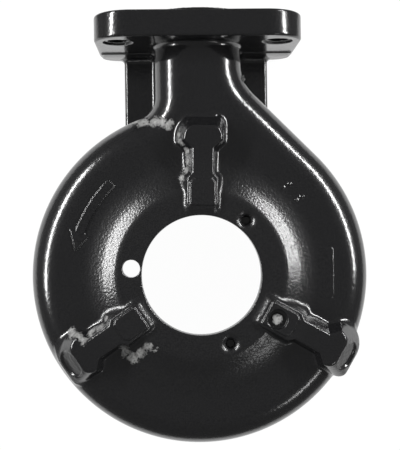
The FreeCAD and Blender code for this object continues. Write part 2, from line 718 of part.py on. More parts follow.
arrow_head = new_body("arrow_head")
arrow_head_plan = new_sketch(arrow_head, "arrow_head_plan", lift=ARROW_FLOOR)
closed_polygon(arrow_head_plan, [
    on_circle("Sizes.arrow_radius - Sizes.arrow_head / 2", "(Sizes.arrow_neck - 0.5)"),
    on_circle("Sizes.arrow_radius + Sizes.arrow_head / 2", "(Sizes.arrow_neck - 0.5)"),
    on_circle("Sizes.arrow_radius", "Sizes.arrow_end"),
])
pad(arrow_head, "arrow_head_raised", arrow_head_plan, "Sizes.arrow_rise + 1")

gate = sector("gate", "Sizes.scroll_radius + Sizes.gate_rise", "Sizes.gate_height",
              "Sizes.gate_start", "Sizes.gate_end", "Sizes.scroll_x", "Sizes.scroll_y",
              f"{MIDDLE_Z} - Sizes.gate_height / 2")

# ---------------------------------------------------------------------------
# Motor side
# ---------------------------------------------------------------------------

motor_flange = revolved("motor_flange", [
    ("0", "0"),
    ("Sizes.motor_flange / 2", "0"),
    ("Sizes.motor_flange / 2", "Sizes.rear_z + Sizes.wall / 2"),
    ("0", "Sizes.rear_z + Sizes.wall / 2"),
], [(1, "Sizes.motor_edge")])

motor_bore = cylinder("motor_bore", "Sizes.motor_bore / 2", "Sizes.rear_z + Sizes.wall + 2",
                      z="-1")
spigot = cylinder("spigot", "Sizes.spigot_diameter / 2", "Sizes.spigot_depth + 1", z="-1")

tapped_holes = []
for i in range(int(size("motor_holes"))):
    turn = f"((360 / Sizes.motor_holes) * {i + 0.5})"
    x, y = on_circle("Sizes.motor_circle / 2", turn)
    tapped_holes.append(cylinder(f"tapped_hole_{i + 1}", "Sizes.tap_drill / 2",
                                 "Sizes.tap_depth + 1", x, y, "-1"))

# ---------------------------------------------------------------------------
# Discharge bore, the front bolt holes, and the blind stud holes in the thick rear part
# ---------------------------------------------------------------------------

discharge_bore = cylinder("discharge_bore", "Sizes.bore_diameter / 2",
                          "Sizes.bore_length + Sizes.face_height + 1",
                          y="Sizes.flange_y - Sizes.bore_length", z=MIDDLE_Z, axis=(0, 1, 0))

BOLT_X = "Sizes.bolt_circle / 2 * cos(Sizes.bolt_angle * 1 deg)"
BOLT_Z = "Sizes.bolt_circle / 2 * sin(Sizes.bolt_angle * 1 deg)"
bolt_tools = []
for side, x in (("left", f"-{BOLT_X}"), ("right", BOLT_X)):
    front_z = f"{MIDDLE_Z} + {BOLT_Z}"
    bolt_tools.append(cylinder(f"bolt_hole_{side}", "Sizes.bolt_hole / 2",
                               "Sizes.flange_thick + 2", x, f"{UNDERSIDE} - 1", front_z,
                               (0, 1, 0)))
    bolt_tools.append(cylinder(f"spot_face_{side}", "Sizes.spot_face / 2",
                               "Sizes.spot_depth + 6", x, f"{UNDERSIDE} - 6", front_z,
                               (0, 1, 0)))
    bolt_tools.append(cylinder(f"stud_hole_{side}", "Sizes.stud_drill / 2",
                               "Sizes.stud_depth + 1", x,
                               "Sizes.flange_y - Sizes.stud_depth",
                               f"{MIDDLE_Z} - {BOLT_Z}", (0, 1, 0)))

# ---------------------------------------------------------------------------
# Screw holes in the suction ring: one open, two with conical seats
# ---------------------------------------------------------------------------

ring_tools = []
for i in range(3):
    turn = f"(Sizes.ring_screw_angle + {120 * i})"
    x, y = on_circle("Sizes.ring_circle / 2", turn)
    x, y = f"Sizes.ring_circle_x + {x}", f"Sizes.ring_circle_y + {y}"
    if i == 0:
        ring_tools.append(cylinder("open_screw_hole", "Sizes.ring_hole / 2",
                                   "Sizes.ring_thick + 2", x, y, f"{RING_UNDER} - 1"))
        continue
    ring_tools.append(cylinder(f"screw_hole_{i}", "Sizes.ring_pilot / 2",
                               "Sizes.ring_pilot_depth + 1", x, y,
                               "Sizes.ring_z - Sizes.ring_pilot_depth"))
    cone = doc.addObject("Part::Cone", f"screw_seat_{i}")
    cone.setExpression("Radius1", "Sizes.ring_pilot / 2")
    cone.setExpression("Radius2", "Sizes.ring_hole / 2")
    cone.setExpression("Height", "(Sizes.ring_hole - Sizes.ring_pilot) / 2")
    cone.setExpression("Placement.Base.x", x)
    cone.setExpression("Placement.Base.y", y)
    cone.setExpression("Placement.Base.z", "Sizes.ring_z - (Sizes.ring_hole - Sizes.ring_pilot) / 2")
    ring_tools.append(cone)

# ---------------------------------------------------------------------------
# The casting
# ---------------------------------------------------------------------------

volute = fuse("volute", scroll, hub, neck_end)
discharge_end = fuse("discharge_end", volute, web, saddle, flange, rear_pad, joint_face)
motor_end = fuse("motor_end", discharge_end, motor_flange, gate, arrow_shaft, arrow_head)
metal = fuse("metal", motor_end, *lugs, *lug_pads)

passage = fuse("passage", chamber, hub_hollow, suction_opening, motor_bore, spigot,
               discharge_bore)
hollows = fuse("hollows", passage, seat, *tapped_holes, *bolt_tools, *ring_tools,
               *tip_pockets)

casing = doc.addObject("Part::Cut", "casing")
casing.Label = "volute_casing"
casing.Base = metal
casing.Tool = hollows
casing.Refine = True
doc.removeObject("Workings")
doc.recompute()

# ---------------------------------------------------------------------------
# Checks and files
# ---------------------------------------------------------------------------

NODES = [casing]

for item in doc.Objects:
    if "Invalid" in item.State or "Error" in item.State:
        raise RuntimeError(f"{item.Name} failed: {item.State}")
for node in NODES:
    if node.Shape.isNull() or not node.Shape.isValid():
        raise RuntimeError(f"{node.Label} has no valid shape")
    if len(node.Shape.Solids) != 1:
        raise RuntimeError(f"{node.Label} is not one solid")

os.makedirs("parts", exist_ok=True)
for node in NODES:
    node.Shape.exportStep(f"parts/{node.Label}.step")
    print(node.Label, round(node.Shape.Volume / 1000), "cm3")
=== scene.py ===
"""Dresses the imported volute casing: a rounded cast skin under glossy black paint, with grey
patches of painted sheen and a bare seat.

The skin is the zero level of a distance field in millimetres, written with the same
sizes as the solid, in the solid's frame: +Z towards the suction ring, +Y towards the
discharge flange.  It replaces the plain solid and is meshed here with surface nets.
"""

import math

import bpy
import numpy as np
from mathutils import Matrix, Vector


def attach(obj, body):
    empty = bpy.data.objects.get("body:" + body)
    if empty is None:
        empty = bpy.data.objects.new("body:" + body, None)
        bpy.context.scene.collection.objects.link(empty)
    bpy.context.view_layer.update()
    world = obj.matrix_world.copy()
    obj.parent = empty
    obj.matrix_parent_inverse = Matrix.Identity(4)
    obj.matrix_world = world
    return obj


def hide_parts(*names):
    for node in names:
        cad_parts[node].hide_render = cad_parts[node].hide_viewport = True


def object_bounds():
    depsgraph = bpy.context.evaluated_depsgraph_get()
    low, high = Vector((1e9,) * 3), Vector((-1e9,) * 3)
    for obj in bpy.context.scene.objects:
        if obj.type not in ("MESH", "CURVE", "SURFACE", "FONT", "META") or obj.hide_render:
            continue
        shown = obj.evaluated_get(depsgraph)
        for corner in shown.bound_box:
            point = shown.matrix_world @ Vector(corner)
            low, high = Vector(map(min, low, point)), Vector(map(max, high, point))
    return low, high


MM = 0.001

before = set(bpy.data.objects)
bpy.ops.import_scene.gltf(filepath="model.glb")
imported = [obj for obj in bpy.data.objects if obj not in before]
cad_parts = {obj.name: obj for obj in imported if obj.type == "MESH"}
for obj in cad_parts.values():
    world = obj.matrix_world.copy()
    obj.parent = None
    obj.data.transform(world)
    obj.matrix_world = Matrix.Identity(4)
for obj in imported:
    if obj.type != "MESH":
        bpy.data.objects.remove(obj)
cad_low, cad_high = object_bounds()
BOX_LOW = np.array(cad_low) / MM
BOX_HIGH = np.array(cad_high) / MM

# ---------------------------------------------------------------------------
# Sizes of the casting, in millimetres and degrees
# ---------------------------------------------------------------------------

WALL = 8.0
SCROLL_R, SCROLL_X, SCROLL_Y = 157.0, -0.3, -1.8
REAR_Z, FRONT_Z = 20.0, 102.0
MIDDLE_Z = (REAR_Z + FRONT_Z) / 2
SHOULDER = 28.0
NECK_HALF = 40.5
FLARE_ANGLE, FLARE_BLEND, TONGUE_BLEND = 45.0, 40.0, 22.0
NECK_ROUND, NECK_RUN = 39.5, 17.0

FLANGE_Y, FLANGE_THICK = 238.8, 24.3
FLANGE_HALF_X, FLANGE_HALF_Z = 96.0, 61.0
FRONT_CORNER, REAR_CORNER, FLANGE_EDGE = 34.0, 18.0, 2.5
UNDERSIDE = FLANGE_Y - FLANGE_THICK
PAD_DEPTH, PAD_DROP, PAD_INSET = 38.0, 1.4, 2.5
FACE_R, FACE_HEIGHT = 59.0, 1.7
BORE_R, BORE_LENGTH = 32.5, 36.0
BOLT_CIRCLE_R, BOLT_ANGLE, BOLT_R = 80.0, 22.5, 9.0
SPOT_R, SPOT_DEPTH = 13.5, 1.6
STUD_R, STUD_DEPTH = 7.0, 18.0

WEB_HALF, WEB_THICK, WEB_EDGE, WEB_START = 72.0, 12.0, 4.0, 94.0

RING_Z, RING_R, CONE_R, CONE_BLEND, RING_EDGE = 115.0, 76.7, 100.5, 7.0, 1.5
RING_UNDER = RING_Z - 12.0
SUCTION_R = 54.2
RING_CIRCLE_X, RING_CIRCLE_Y, RING_CIRCLE_R = 1.0, -2.3, 65.1
RING_ANGLE, RING_HOLE_R, RING_PILOT_R, RING_PILOT_DEPTH = 172.0, 8.0, 4.0, 9.0

LUG_TOP, LUG_FOOT, LUG_BOTTOM = 119.0, 94.0, 82.0
LUG_BLOCK_HALF, LUG_WAIST_HALF, LUG_HEAD_HALF, LUG_STEP, LUG_FLARE = 13.7, 9.4, 17.0, 5.0, 8.0
LUG_PAD_RISE, LUG_PAD_CUT, LUG_PAD_MARGIN = 1.2, 3.6, 2.5
LUG_DRAFT, LUG_WIDE_DRAFT, LUG_INNER_DRAFT, LUG_TIP_DRAFT = 12.0, 26.0, 50.0, 37.0
LUG_CORNER, LUG_TIP_CORNER, LUG_TIP_FOOT, LUG_EDGE, LUG_BLEND = 4.5, 8.0, 22.0, 1.5, 3.2
POCKET_LENGTH, POCKET_WIDTH, POCKET_DEPTH, POCKET_DROP = 27.0, 24.0, 2.0, 12.3
# angle, inner end, outer ends of the pad, the waist and the top, and the wider side
LUGS = [(88.6, 60.5, 87.5, 114.5, 134.3, 1),
        (213.6, 63.0, 90.0, 118.0, 134.3, -1),
        (330.1, 65.0, 96.0, 127.0, 143.3, 1)]
SEAT_X, SEAT_Y, SEAT_R, SEAT_DEPTH, STUB_R, STUB_HEIGHT = 67.5, -40.5, 9.0, 4.5, 5.5, 2.0

ARROW_R, ARROW_HALF, ARROW_HEAD = 117.0, 4.3, 19.5
ARROW_START, ARROW_NECK, ARROW_END, ARROW_RISE = 133.5, 160.5, 168.7, 1.6

MOTOR_R, MOTOR_EDGE, MOTOR_TOP = 125.0, 2.0, 24.0
MOTOR_BORE_R, SPIGOT_R, SPIGOT_DEPTH = 102.0, 107.0, 6.0
MOTOR_CIRCLE_R, MOTOR_HOLES, TAP_R, TAP_DEPTH = 116.0, 8, 4.25, 20.0
NUB_X, NUB_Y, NUB_Z, NUB_R = -95.0, -82.0, 103.0, 3.6
MARKS = [(76, 79), (82, 82), (88, 67), (93, 70), (81, 64)]
MARK_R, MARK_RISE = 2.2, 1.5
PANEL_X, PANEL_Y, PANEL_HALF_X, PANEL_HALF_Y, PANEL_RISE = 112.0, -0.0, 9.0, 23.0, 0.5
GATE_RISE, GATE_START, GATE_END, GATE_HALF = 1.3, 259.0, 285.0, 7.0

# Roundings where one form meets the next
MOTOR_BLEND, WEB_BLEND, FLANGE_BLEND, GATE_BLEND = 3.0, 6.0, 5.0, 1.2
ARROW_EDGE, ARROW_BLEND, MARK_BLEND, PANEL_EDGE = 1.1, 0.8, 0.5, 0.4
FACE_EDGE, PAD_BLEND, HOLLOW_CORNER = 0.6, 0.8, 4.0
LUG_PAD_EDGE, LUG_PAD_BLEND, POCKET_FLOOR_EDGE, POCKET_RIM = 0.9, 0.6, 1.8, 1.0
SEAT_EDGE, STUB_EDGE, SCREW_RIM, RIM = 0.8, 0.6, 2.2, 0.9

# Mesh: grid step, triangles, and the reach of the differences that give the normals
STEP = 1.25
TRIANGLES = 190_000
NORMAL_REACH = 0.45


# ---------------------------------------------------------------------------
# Distance-field tools: negative inside the metal, lengths in millimetres
# ---------------------------------------------------------------------------

def turn(angle):
    return math.cos(math.radians(angle)), math.sin(math.radians(angle))


def join(a, b, radius):
    """Union whose inner corner is filled with a round of that radius."""
    reach = np.hypot(np.maximum(radius - a, 0), np.maximum(radius - b, 0))
    return np.maximum(radius, np.minimum(a, b)) - reach


def both(a, b, radius):
    """Intersection whose outer corner is rounded."""
    return -join(-a, -b, radius)


def cut(a, tool, radius):
    """a without the tool, with the rim of the cut rounded."""
    return both(a, -tool, radius)


def raised(plan, height, middle, half, rounding):
    """A plan outline raised to 2 * half along one axis, with rounded shoulders."""
    side = plan + rounding
    end = np.abs(height - middle) - half + rounding
    outside = np.hypot(np.maximum(side, 0), np.maximum(end, 0))
    return np.minimum(np.maximum(side, end), 0) + outside - rounding


def rectangle(x, y, half_x, half_y, corner=0.0):
    """Rounded rectangle; corner may vary with the place."""
    side_x = np.abs(x) - half_x + corner
    side_y = np.abs(y) - half_y + corner
    outside = np.hypot(np.maximum(side_x, 0), np.maximum(side_y, 0))
    return np.minimum(np.maximum(side_x, side_y), 0) + outside - corner


def polygon(x, y, corners):
    """Distance to a closed polygon given by its corners."""
    nearest = np.full(np.broadcast(x, y).shape, 1e9, np.float32)
    inside = np.zeros(nearest.shape, bool)
    for (x0, y0), (x1, y1) in zip(corners, corners[1:] + corners[:1]):
        edge_x, edge_y = x1 - x0, y1 - y0
        share = ((x - x0) * edge_x + (y - y0) * edge_y) / (edge_x ** 2 + edge_y ** 2)
        share = np.clip(share, 0, 1)
        nearest = np.minimum(nearest, np.hypot(x - x0 - share * edge_x, y - y0 - share * edge_y))
        crosses = (y0 > y) != (y1 > y)
        if y1 != y0:
            inside ^= crosses & (x < x0 + (y - y0) * edge_x / edge_y)
    return np.where(inside, -nearest, nearest)


def outline(x, y):
    """Plan outline: scroll circle, tangent flare on the right, neck, tongue on the left."""
    cosine, sine = turn(FLARE_ANGLE)
    centre_x, centre_y = x - SCROLL_X, y - SCROLL_Y
    flare_x = NECK_HALF + FLARE_BLEND
    flare_y = SCROLL_Y + (SCROLL_R + FLARE_BLEND - cosine * (flare_x - SCROLL_X)) / sine
    tongue_x = -NECK_HALF - TONGUE_BLEND
    tongue_y = SCROLL_Y + math.sqrt((SCROLL_R + TONGUE_BLEND) ** 2 - (tongue_x - SCROLL_X) ** 2)
    tongue_turn = math.atan2(tongue_y - SCROLL_Y, tongue_x - SCROLL_X)

    from_centre = np.hypot(centre_x, centre_y)
    bearing = np.arctan2(centre_y, centre_x)
    on_circle = (bearing <= math.radians(FLARE_ANGLE)) | (bearing >= tongue_turn)
    circle = np.where(on_circle, np.abs(from_centre - SCROLL_R), 1e9)

    beyond = centre_x * cosine + centre_y * sine - SCROLL_R
    along = -centre_x * sine + centre_y * cosine
    line_length = -(flare_x - SCROLL_X) * sine + (flare_y - SCROLL_Y) * cosine
    line = np.where((along >= 0) & (along <= line_length), np.abs(beyond), 1e9)

    flare_dx, flare_dy = x - flare_x, y - flare_y
    from_flare = np.hypot(flare_dx, flare_dy)
    on_flare = (flare_dy <= 0) & (along >= line_length)
    flare = np.where(on_flare, np.abs(from_flare - FLARE_BLEND), 1e9)

    tongue_dx, tongue_dy = x - tongue_x, y - tongue_y
    from_tongue = np.hypot(tongue_dx, tongue_dy)
    right_of_line = centre_x * math.sin(tongue_turn) - centre_y * math.cos(tongue_turn) >= 0
    on_tongue = (tongue_dy <= 0) & right_of_line
    tongue = np.where(on_tongue, np.abs(from_tongue - TONGUE_BLEND), 1e9)

    right = np.where(y >= flare_y, np.abs(x - NECK_HALF), 1e9)
    left = np.where(y >= tongue_y, np.abs(x + NECK_HALF), 1e9)

    nearest = np.minimum.reduce([circle, line, flare, tongue, right, left])
    in_neck = (np.abs(x) < NECK_HALF) & (y > SCROLL_Y)
    in_flare = (x > 0) & (y < flare_y) & (along > 0) & (beyond < 0) & (from_flare > FLARE_BLEND)
    in_tongue = on_tongue & (from_tongue > TONGUE_BLEND) & (from_tongue < 3 * TONGUE_BLEND)
    inside = (from_centre < SCROLL_R) | in_neck | in_flare | in_tongue
    return np.where(inside, -nearest, nearest)


# ---------------------------------------------------------------------------
# The casting, part by part
# ---------------------------------------------------------------------------

def volute_field(plan, y, z):
    """Scroll and neck: the outside, and the water space one wall inside it."""
    grow = np.clip((y - UNDERSIDE + NECK_RUN) / NECK_RUN, 0, 1)
    rounding = SHOULDER + (NECK_ROUND - SHOULDER) * grow
    half = (FRONT_Z - REAR_Z) / 2
    outside = raised(plan, z, MIDDLE_Z, half, rounding)
    inside = raised(plan + WALL, z, MIDDLE_Z, half - WALL, rounding - WALL)
    outside = np.maximum(outside, y - FLANGE_Y + FLANGE_THICK / 2)
    inside = np.maximum(inside, y - FLANGE_Y + BORE_LENGTH - 1)
    return outside, inside


def hub_field(rho, z):
    """Suction ring on its cone: the outside and the hollow."""
    run, rise = CONE_R - RING_R, RING_Z - FRONT_Z
    length = math.hypot(run, rise)
    slope = ((rho - CONE_R) * rise + (z - FRONT_Z) * run) / length
    outside = both(slope, z - RING_Z, RING_EDGE)
    inside = both(slope + WALL, z - RING_UNDER, HOLLOW_CORNER)
    return np.maximum(outside, FRONT_Z - WALL / 2 - z), np.maximum(inside, FRONT_Z - WALL - 2 - z)


def flange_field(x, y, z):
    """Discharge flange with its thick rear part and the raised joint face."""
    corner = np.where(z > MIDDLE_Z, FRONT_CORNER, REAR_CORNER)
    plate = rectangle(x, z - MIDDLE_Z, FLANGE_HALF_X, FLANGE_HALF_Z, corner)
    plate = raised(plate, y, FLANGE_Y - FLANGE_THICK / 2, FLANGE_THICK / 2, FLANGE_EDGE)
    pad_corner = np.where(z > PAD_DEPTH / 2, WEB_EDGE, REAR_CORNER)
    pad = rectangle(x, z - PAD_DEPTH / 2, FLANGE_HALF_X - PAD_INSET, PAD_DEPTH / 2, pad_corner)
    pad_half = (FLANGE_THICK - FLANGE_EDGE + PAD_DROP) / 2
    pad = raised(pad, y, FLANGE_Y - FLANGE_EDGE - pad_half, pad_half, FACE_EDGE)
    face_half = (FLANGE_THICK / 2 + FACE_HEIGHT) / 2
    face = np.hypot(x, z - MIDDLE_Z) - FACE_R
    face = raised(face, y, FLANGE_Y + FACE_HEIGHT - face_half, face_half, FACE_EDGE)
    return np.minimum(join(plate, pad, PAD_BLEND), face)


def lug_field(x, y, z, angle, inner_end, pad_end, waist_end, top_end, wide_side):
    """One drafted lug with its square pad and the pocket in its sloping end."""
    cosine, sine = turn(angle)
    along = x * cosine + y * sine
    across = -x * sine + y * cosine
    drop = LUG_TOP - z
    fall = np.minimum(drop, LUG_TOP - LUG_FOOT)
    stations = [(20, LUG_BLOCK_HALF), (pad_end, LUG_BLOCK_HALF),
                (pad_end + LUG_STEP, LUG_WAIST_HALF), (waist_end, LUG_WAIST_HALF),
                (waist_end + LUG_FLARE, LUG_HEAD_HALF), (190, LUG_HEAD_HALF)]
    plan = polygon(along, across, [(u, -w) for u, w in stations]
                   + [(u, w) for u, w in reversed(stations)])
    side_draft = np.radians(np.where(across * wide_side > 0, LUG_WIDE_DRAFT, LUG_DRAFT))
    inner_cos, inner_sin = turn(LUG_INNER_DRAFT)
    tip_cos, tip_sin = turn(LUG_TIP_DRAFT)
    side = plan * np.cos(side_draft) - fall * np.sin(side_draft)
    inner = (inner_end - along) * inner_cos - fall * inner_sin
    tip = (along - top_end) * tip_cos - fall * tip_sin
    foot = np.where(across * wide_side > 0, LUG_TIP_FOOT, LUG_TIP_CORNER)
    tip_round = LUG_TIP_CORNER + (foot - LUG_TIP_CORNER) * fall / (LUG_TOP - LUG_FOOT)
    walls = both(both(side, tip, np.maximum(tip_round, 1)), inner, LUG_CORNER)
    lug = both(walls, -drop, LUG_EDGE)
    lug = np.maximum(lug, LUG_BOTTOM - z)

    near = inner_end + LUG_PAD_MARGIN
    half = LUG_BLOCK_HALF - LUG_PAD_MARGIN
    pad = polygon(along, across, [
        (near, -half), (pad_end - LUG_PAD_CUT, -half), (pad_end, LUG_PAD_CUT - half),
        (pad_end, half - LUG_PAD_CUT), (pad_end - LUG_PAD_CUT, half), (near, half)])
    pad = np.maximum(both(pad, -drop - LUG_PAD_RISE, LUG_PAD_EDGE), drop - 3)
    lug = join(lug, pad, LUG_PAD_BLEND)

    down = drop * tip_cos + (along - top_end) * tip_sin - POCKET_DROP / tip_cos
    corner = min(POCKET_LENGTH, POCKET_WIDTH) / 2 - 0.1
    pocket = rectangle(across, down, POCKET_LENGTH / 2, POCKET_WIDTH / 2, corner)
    pocket = both(pocket, -(tip + POCKET_DEPTH), POCKET_FLOOR_EDGE)
    return cut(lug, pocket, POCKET_RIM)


def seat_field(x, y, z):
    """Round seat in the right lug, with the stub of a boss broken off in it."""
    rho = np.hypot(x - SEAT_X, y - SEAT_Y)
    floor = LUG_TOP + LUG_PAD_RISE - SEAT_DEPTH
    seat = both(rho - SEAT_R, floor - z, SEAT_EDGE)
    stub = both(rho - STUB_R, z - floor - STUB_HEIGHT, STUB_EDGE)
    return np.maximum(seat, -stub)


def arrow_field(x, y, rho, bearing, z):
    """Flow arrow cast on the front wall."""
    start, neck = math.radians(ARROW_START), math.radians(ARROW_NECK)
    end_gap = np.maximum(start - bearing, bearing - neck) * rho
    shaft = np.maximum(np.abs(rho - ARROW_R) - ARROW_HALF, end_gap)
    neck_x, neck_y = turn(ARROW_NECK - 0.5)
    tip_x, tip_y = turn(ARROW_END)
    inner, outer = ARROW_R - ARROW_HEAD / 2, ARROW_R + ARROW_HEAD / 2
    head = polygon(x, y, [(inner * neck_x, inner * neck_y), (outer * neck_x, outer * neck_y),
                          (ARROW_R * tip_x, ARROW_R * tip_y)])
    plan = np.minimum(shaft, head)
    return np.maximum(both(plan, z - FRONT_Z - ARROW_RISE, ARROW_EDGE), FRONT_Z - 3 - z)


def marks_field(x, y, z):
    """Small cast marks, a faint bare panel on the front wall, and the nub by the left lug."""
    nub = np.hypot(np.hypot(x - NUB_X, y - NUB_Y), z - NUB_Z) - NUB_R
    panel = rectangle(x - PANEL_X, y - PANEL_Y, PANEL_HALF_X, PANEL_HALF_Y, 2.0)
    panel = np.maximum(both(panel, z - FRONT_Z - PANEL_RISE, PANEL_EDGE), FRONT_Z - 3 - z)
    field = np.minimum(nub, panel)
    for mark_x, mark_y in MARKS:
        off = np.hypot(np.hypot(x - mark_x, y - mark_y), z - FRONT_Z - MARK_RISE + MARK_R)
        field = np.minimum(field, off - MARK_R)
    return field


def casting(x, y, z):
    """The whole casting; x, y and z broadcast against each other."""
    rho = np.hypot(x, y)
    bearing = np.mod(np.arctan2(y, x), 2 * math.pi)
    plan = outline(x, y)
    metal, water = volute_field(plan, y, z)

    beside_web = np.maximum(np.abs(x) - WEB_HALF, WEB_START - y)
    saddle = np.maximum(np.maximum(plan, beside_web), np.maximum(z - MIDDLE_Z, WEB_THICK / 2 - z))
    saddle = np.maximum(saddle, y - UNDERSIDE - 2)
    metal = np.minimum(metal, saddle)

    disc = raised(rho - MOTOR_R, z, 0, MOTOR_TOP, MOTOR_EDGE)
    metal = join(metal, disc, MOTOR_BLEND)
    web = rectangle(x, z, WEB_HALF, WEB_THICK, WEB_EDGE)
    web = np.maximum(web, np.maximum(WEB_START - y, y - UNDERSIDE - 2))
    metal = join(metal, web, WEB_BLEND)
    metal = join(metal, flange_field(x, y, z), FLANGE_BLEND)

    gate_angle = np.mod(np.arctan2(y - SCROLL_Y, x - SCROLL_X), 2 * math.pi)
    gate_rho = np.hypot(x - SCROLL_X, y - SCROLL_Y)
    gate_end = np.maximum(math.radians(GATE_START) - gate_angle,
                          gate_angle - math.radians(GATE_END)) * gate_rho
    gate = np.maximum(gate_rho - SCROLL_R - GATE_RISE, np.abs(z - MIDDLE_Z) - GATE_HALF)
    gate = np.maximum(gate, np.maximum(gate_end, SCROLL_R - WALL + 1 - gate_rho))
    metal = join(metal, gate, GATE_BLEND)

    hub, hub_hollow = hub_field(rho, z)
    metal = join(metal, hub, CONE_BLEND)
    metal = join(metal, arrow_field(x, y, rho, bearing, z), ARROW_BLEND)
    metal = join(metal, marks_field(x, y, z), MARK_BLEND)
    for lug in LUGS:
        metal = join(metal, lug_field(x, y, z, *lug), LUG_BLEND)

    metal = np.maximum(metal, -z)

    hollow = np.minimum(water, hub_hollow)
    mouth = np.maximum(rho - MOTOR_BORE_R, z - REAR_Z - WALL - 2)
    mouth = np.minimum(mouth, np.maximum(rho - SPIGOT_R, z - SPIGOT_DEPTH))
    hollow = np.minimum(hollow, mouth)
    hollow = np.minimum(hollow, np.maximum(rho - SUCTION_R, FRONT_Z - z))
    bore = np.hypot(x, z - MIDDLE_Z) - BORE_R
    hollow = np.minimum(hollow, np.maximum(bore, FLANGE_Y - BORE_LENGTH - y))

    hollow = np.minimum(hollow, seat_field(x, y, z))
    bolt_x, bolt_z = (BOLT_CIRCLE_R * part for part in turn(BOLT_ANGLE))
    side = np.abs(x) - bolt_x
    bolt = np.hypot(side, z - MIDDLE_Z - bolt_z)
    stud = np.hypot(side, z - MIDDLE_Z + bolt_z)
    hollow = np.minimum(hollow, np.maximum(bolt - BOLT_R, UNDERSIDE - 2 - y))
    spot = np.maximum(y - UNDERSIDE - SPOT_DEPTH, UNDERSIDE - 6 - y)
    hollow = np.minimum(hollow, np.maximum(bolt - SPOT_R, spot))
    hollow = np.minimum(hollow, np.maximum(stud - STUD_R, FLANGE_Y - STUD_DEPTH - y))

    turns = np.mod(bearing, 2 * math.pi / MOTOR_HOLES) - math.pi / MOTOR_HOLES
    tap = np.hypot(rho * np.cos(turns) - MOTOR_CIRCLE_R, rho * np.sin(turns))
    hollow = np.minimum(hollow, np.maximum(tap - TAP_R, z - TAP_DEPTH))

    # The first screw hole is open, and the other two are blind with conical seats.
    for i in range(3):
        cosine, sine = turn(RING_ANGLE + 120 * i)
        off = np.hypot(x - RING_CIRCLE_X - RING_CIRCLE_R * cosine,
                       y - RING_CIRCLE_Y - RING_CIRCLE_R * sine)
        if i == 0:
            screw = off - RING_HOLE_R
            hollow = np.minimum(hollow, np.maximum(screw, RING_UNDER - 3 - z))
        else:
            cone = (off - RING_HOLE_R + RING_Z - z) * math.sqrt(0.5)
            metal = cut(metal, np.maximum(cone, RING_UNDER - z), SCREW_RIM)
            pilot = np.maximum(off - RING_PILOT_R, RING_Z - RING_PILOT_DEPTH - z)
            hollow = np.minimum(hollow, pilot)
    return cut(metal, hollow, RIM)


# ---------------------------------------------------------------------------
# Meshing
# ---------------------------------------------------------------------------

def sample(points):
    """The field at a list of points."""
    return casting(points[:, 0], points[:, 1], points[:, 2])


def slope_of(points, reach):
    """Gradient of the field by central differences."""
    slope = np.empty_like(points)
    for axis in range(3):
        step = np.zeros(3, points.dtype)
        step[axis] = reach
        slope[:, axis] = (sample(points + step) - sample(points - step)) / (2 * reach)
    return slope


def settle(points, rounds, reach=0.15):
    """Moves points onto the zero level."""
    for _ in range(rounds):
        slope = slope_of(points, reach)
        size = np.maximum((slope ** 2).sum(axis=1, keepdims=True), 0.25)
        shift = sample(points)[:, None] * slope / size
        points = points - np.clip(shift, -0.6 * STEP, 0.6 * STEP)
    return points


def surface_net():
    """Vertices and quads of the zero level on a regular grid."""
    low = BOX_LOW - 3.3 * STEP
    counts = np.ceil((BOX_HIGH - BOX_LOW) / STEP + 7).astype(int)
    axes = [(low[i] + STEP * np.arange(counts[i])).astype(np.float32) for i in range(3)]
    field = casting(axes[0][:, None, None], axes[1][None, :, None], axes[2][None, None, :])
    field = field.astype(np.float32)
    inside = field < 0

    corner_count = np.zeros(tuple(counts - 1), np.int8)
    for i in (0, 1):
        for j in (0, 1):
            for k in (0, 1):
                corner_count += inside[i:i + counts[0] - 1, j:j + counts[1] - 1,
                                       k:k + counts[2] - 1]
    cells = np.argwhere((corner_count > 0) & (corner_count < 8))
    number = np.full(corner_count.shape, -1, np.int32)
    number[tuple(cells.T)] = np.arange(len(cells))

    total = np.zeros((len(cells), 3), np.float32)
    crossings = np.zeros((len(cells), 1), np.float32)
    for axis in range(3):
        others = [a for a in range(3) if a != axis]
        for i in (0, 1):
            for j in (0, 1):
                start = np.zeros(3, int)
                start[others[0]], start[others[1]] = i, j
                stop = start.copy()
                stop[axis] = 1
                first = field[tuple((cells + start).T)]
                second = field[tuple((cells + stop).T)]
                crossed = (first < 0) != (second < 0)
                share = np.where(crossed, first / np.where(crossed, first - second, 1), 0)
                spot = np.repeat(start[None, :].astype(np.float32), len(cells), axis=0)
                spot[:, axis] = share
                total += np.where(crossed[:, None], spot, 0)
                crossings += crossed[:, None]
    points = (cells + total / crossings) * STEP + low

    quads = []
    for axis in range(3):
        first, second = [a for a in range(3) if a != axis]
        length = counts.copy()
        length[axis] -= 1
        near = inside[tuple(slice(0, n) for n in length)]
        far = inside[tuple(slice(1, n + 1) if a == axis else slice(0, n)
                           for a, n in enumerate(length))]
        for entering in (True, False):
            edges = np.argwhere(near & ~far if entering else far & ~near)
            corners = []
            for i, j in ((0, 0), (1, 0), (1, 1), (0, 1)):
                cell = edges.copy()
                cell[:, first] -= i
                cell[:, second] -= j
                corners.append(number[tuple(cell.T)])
            quad = np.stack(corners, axis=1)
            flip = entering == (axis == 1)
            quads.append(quad[:, ::-1] if flip else quad)
    return points, np.concatenate(quads)


def make_mesh(name, points, faces):
    """A mesh from points in millimetres and faces of one length."""
    mesh = bpy.data.meshes.new(name)
    mesh.vertices.add(len(points))
    mesh.vertices.foreach_set("co", (points * MM).astype(np.float32).ravel())
    size = faces.shape[1]
    mesh.loops.add(faces.size)
    mesh.loops.foreach_set("vertex_index", faces.astype(np.int32).ravel())
    mesh.polygons.add(len(faces))
    mesh.polygons.foreach_set("loop_start", np.arange(0, faces.size, size, dtype=np.int32))
    mesh.update(calc_edges=True)
    mesh.validate()
    return mesh


